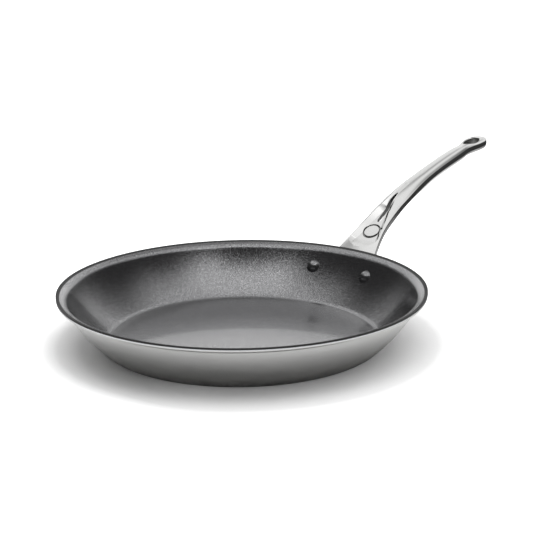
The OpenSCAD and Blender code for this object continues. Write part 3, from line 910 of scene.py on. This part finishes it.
# The ring groove's walls take the steel darkened with painted shade.
pocket = turned("pocket", POCKET_LINE, SHADED_RECESS)
pocket.data.transform(at_disc())
handle = cut_or_joined(handle, pocket, "DIFFERENCE")
BOSS_LINE = disc_outline(-RING_DEPTH - DISC_ROOT, RING_D / 2 - RING_W, DISC_H, DISC_ROUND)
boss = turned("boss", BOSS_LINE, POLISHED)
boss.data.transform(at_disc())
handle = cut_or_joined(handle, boss, "UNION")
handle = cut_or_joined(handle, flange_plate(), "UNION")
weld(handle)
for polygon in handle.data.polygons:
    polygon.use_smooth = True
handle.data.set_sharp_from_angle(angle=HANDLE_CREASE_ANGLE)
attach(handle, "root")
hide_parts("handle")


# THE STUDIO
# The camera sees a pale floor and white all round. Metal mirrors a dim room instead, with
# a soft bright ceiling and a white backdrop low behind the pan.
CAMERA_PLACE = Vector((-0.8800, -0.7417, 0.3893))
CAMERA_AIM = Vector((0.7482, 0.5994, -0.2844))
CAMERA_ROLL = math.radians(-0.49)
LENS_MM = 102.18
SENSOR_MM = 36
NEAREST_SEEN = 0.05
VIEW = CAMERA_AIM.xy.normalized()
FLOOR_HALF = 6.0
SIDE_EDGE = 0.27
FAR_EDGE = 0.58
EDGE_FADE = 0.12
PAPER_DULL = (0.84, 0.84, 0.84, 1)
PAPER_BRIGHT = (0.88, 0.88, 0.88, 1)
PAPER_GRAIN_PER_M = 300.0
# The painted dark reflection that metal sees past the paper's edges.
PAINTED_DARK_REFLECTION = (0.02, 0.02, 0.02, 1)
BLACK = (0, 0, 0, 1)
WHITE = (1, 1, 1, 1)


def ray_kind(shading, kind):
    """1 for rays of this kind, such as those of the camera, and 0 for others."""
    return shading.node("ShaderNodeLightPath", {}, {}, kind)


def pale_floor():
    """Matte paper with painted light: white beyond a lifted shadow for the camera, painted dark past its
    edges for metal.
    """
    made = Finish("pale_floor", Roughness=0.9, Emission_Strength=1.0)
    point, x, y, _ = made.place()
    paper = made.mixed(made.noise(point, PAPER_GRAIN_PER_M, 2.0), PAPER_DULL, PAPER_BRIGHT)
    out = (x * x + y * y) ** 0.5
    right = x * VIEW[1] - y * VIEW[0]
    left = right.falling(-0.03, 0.05)
    beyond = right.rising(SIDE_EDGE, EDGE_FADE).maths("MAXIMUM", out.rising(FAR_EDGE, EDGE_FADE))
    # Painted reflection: past its edges the paper is dark for metal alone.
    made.feed("Base Color", made.mixed(beyond * ray_kind(made, "Is Glossy Ray"), paper, PAINTED_DARK_REFLECTION))
    # Painted light lifts the shadow, least on the left, and it ends past the rim. Metal sees a pale painted
    # ring.
    painted_shadow_lift = 0.15 - left * 0.09 - out.rising(0.12, 0.03) * (1 - left) * 0.05
    far = (out + left * 0.008).rising(0.148, 0.045) * 0.8
    painted_ring_reflection = out.rising(0.138, 0.014) * out.falling(0.21, 0.05) * 0.27
    white_and_painted_glow = ray_kind(made, "Is Camera Ray") * (painted_shadow_lift + far) + ray_kind(made, "Is Glossy Ray") * painted_ring_reflection
    made.feed("Emission Color", made.mixed(white_and_painted_glow, BLACK, WHITE))
    return made


FLOOR_CORNERS = [(FLOOR_HALF * x, FLOOR_HALF * y, 0) for x, y in ((-1, -1), (1, -1), (1, 1), (-1, 1))]
floor = mesh_object("studio_floor", FLOOR_CORNERS, [(0, 1, 2, 3)])
floor.data.materials.append(pale_floor().material)

CEILING_MIDDLE = 0.03
CEILING_HALF = 0.61
CEILING_SOFT = 0.3
CEILING_GAP_SHARE = 0.55
BACKDROP_LOW = 0.12
BACKDROP_HIGH = 0.42
BACKDROP_STRENGTH = 1.2
ROOM_STRENGTH = 0.045


def studio_walls():
    """The surround, by direction: how far away from the camera, to the right and up it points."""
    world = bpy.data.worlds.new("white_studio")
    bpy.context.scene.world = world
    shading = Shading(world)
    x, y, z = shading.parts(shading.node("ShaderNodeTexCoord", {}, {}, "Generated"))
    away = x * VIEW[0] + y * VIEW[1]
    right = x * VIEW[1] - y * VIEW[0]
    # The ceiling is wider overhead and on the far side, where its corners are dimmer.
    aside = (right - CEILING_MIDDLE).maths("ABSOLUTE")
    width = CEILING_HALF + away.rising(-0.25, 0.25) * 0.16 + z.rising(0.58, 0.08) * 0.06
    width = ((width - aside) / CEILING_SOFT).clamped()
    width = width * (1 - aside.rising(0.48, 0.14) * away.rising(0.2, 0.2) * 0.38)
    # It starts brighter on the camera's side, and reaches further that way on the right.
    reach = right.rising(0.2, 0.12) * 0.11 + 0.63
    front = ((away + reach) / 0.16).clamped() * 1.25 - away.rising(-0.22, 0.14) * 0.35
    # A dimmer gap over the far side is what the back of the lip mirrors.
    gap = right.rising(-0.2, 0.12) * right.falling(0.36, 0.1) * away.rising(0.36, 0.12)
    gap = gap * (z + right * 0.4).rising(0.64, 0.08)
    # Its lower edge is low on the far side and high on the camera's side.
    sill = 0.46 - away.clamped() * 0.45 + away.falling(0, 0.25) * 0.2
    ceiling = width * front * (1 - gap * CEILING_GAP_SHARE) * (z - sill).rising(0, 0.14)
    backdrop = away.rising(0.86, 0.08) * z.rising(BACKDROP_LOW, 0.14) * z.falling(BACKDROP_HIGH, 0.1)
    light = ceiling.maths("MAXIMUM", backdrop * BACKDROP_STRENGTH) + ROOM_STRENGTH
    strength = light.maths("MAXIMUM", ray_kind(shading, "Is Camera Ray"))
    background = shading.nodes["Background"]
    background.inputs["Color"].default_value = WHITE
    shading.links.new(strength.socket, background.inputs["Strength"])


studio_walls()


def soft_box(name, place, size, power):
    """A wide lamp that faces down, turned to the camera's view. Metal doesn't mirror it."""
    light = bpy.data.lights.new(name, "AREA")
    light.shape = "RECTANGLE"
    light.size, light.size_y = size
    light.energy = power
    lamp = bpy.data.objects.new(name, light)
    lamp.location = place
    lamp.visible_glossy = False
    lamp.rotation_euler = (0, 0, math.atan2(CAMERA_AIM[1], CAMERA_AIM[0]) - math.pi / 2)
    bpy.context.scene.collection.objects.link(lamp)


soft_box("top_box", (-0.10, -0.30, 1.35), (1.7, 1.1), 15)

camera_data = bpy.data.cameras.new("camera")
camera_data.lens = LENS_MM
camera_data.sensor_width = SENSOR_MM
camera_data.clip_start = NEAREST_SEEN
camera = bpy.data.objects.new("camera", camera_data)
aim = CAMERA_AIM.to_track_quat("-Z", "Y").to_matrix() @ Matrix.Rotation(CAMERA_ROLL, 3, "Z")
camera.matrix_world = Matrix.Translation(CAMERA_PLACE) @ aim.to_4x4()
bpy.context.scene.collection.objects.link(camera)
bpy.context.scene.camera = camera
bpy.context.scene.view_settings.view_transform = "Standard"
